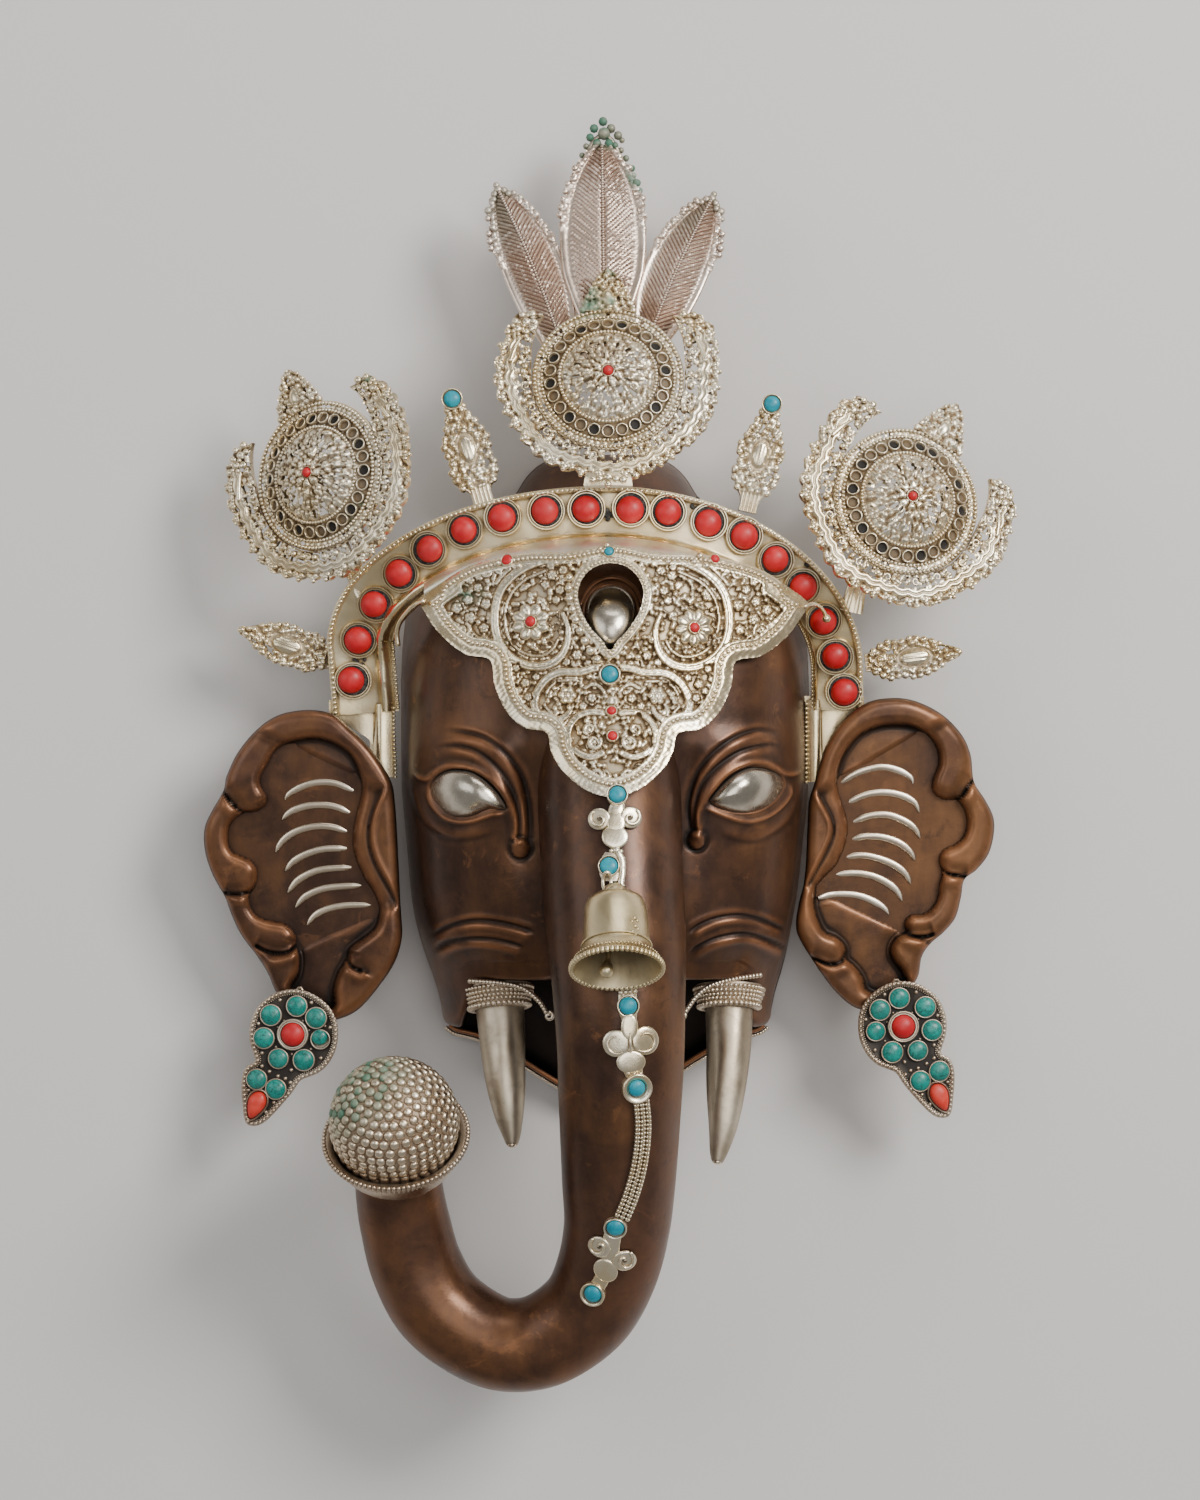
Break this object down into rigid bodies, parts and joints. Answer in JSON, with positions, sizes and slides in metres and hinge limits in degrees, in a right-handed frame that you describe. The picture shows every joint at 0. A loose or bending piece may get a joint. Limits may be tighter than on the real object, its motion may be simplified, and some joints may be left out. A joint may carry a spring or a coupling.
{
  "type": "ganesh wall mask",
  "caption": "Elephant-headed wall mask of raised copper with a silvered openwork crown, coral stones, tusks, a small bell and a trunk curled up round a sweet in a dish.",
  "frame": {"origin": "centre of the overall box on the plane of the open back rim, which rests on the table", "axes": "+Z out of the face, +Y from the chin to the crown, +X to the right as seen by someone facing the mask"},
  "size_m": [0.3666, 0.5639, 0.1868],
  "materials": {
    "patinated_copper": "raised copper sheet with a dark oxidised brown patina, redder on the high edges",
    "silvered_copper": "pale champagne silvering over copper, darker in the recesses",
    "worn_silver": "worn pinkish silvering with green verdigris spots",
    "tarnished_silver": "satin silver with grey-brown tarnish",
    "coral": "waxed opaque coral red",
    "turquoise": "waxed opaque turquoise with dark veins"
  },
  "bodies": {
    "root": {"bell": "silvered_copper", "bell_clapper": "silvered_copper", "coral_01": "coral", "coral_02": "coral", "coral_03": "coral", "coral_04": "coral", "coral_05": "coral", "coral_06": "coral", "coral_07": "coral", "coral_08": "coral", "coral_09": "coral", "coral_10": "coral", "coral_11": "coral", "coral_12": "coral", "coral_13": "coral", "coral_14": "coral", "coral_15": "coral", "coral_16": "coral", "coral_17": "coral", "coral_18": "coral", "crown_band": "silvered_copper", "ear_left": "patinated_copper", "ear_pendant_left": "silvered_copper", "ear_pendant_right": "silvered_copper", "ear_right": "patinated_copper", "eye_left": "tarnished_silver", "eye_right": "tarnished_silver", "finial_side_left": "silvered_copper", "finial_side_right": "silvered_copper", "finial_stone_left": "turquoise", "finial_stone_right": "turquoise", "finial_upper_left": "silvered_copper", "finial_upper_right": "silvered_copper", "forehead_plate": "silvered_copper", "head_shell": "patinated_copper", "pendant_coral_left": "coral", "pendant_coral_right": "coral", "plume": "worn_silver", "rosette_center": "silvered_copper", "rosette_left": "silvered_copper", "rosette_right": "silvered_copper", "sweet": "worn_silver", "sweet_dish": "silvered_copper", "third_eye": "tarnished_silver", "trunk": "patinated_copper", "trunk_pendant_lower": "silvered_copper", "trunk_pendant_upper": "silvered_copper", "tusk_collar_left": "silvered_copper", "tusk_collar_right": "silvered_copper", "tusk_left": "tarnished_silver", "tusk_right": "tarnished_silver"}
  },
  "joints": []
}
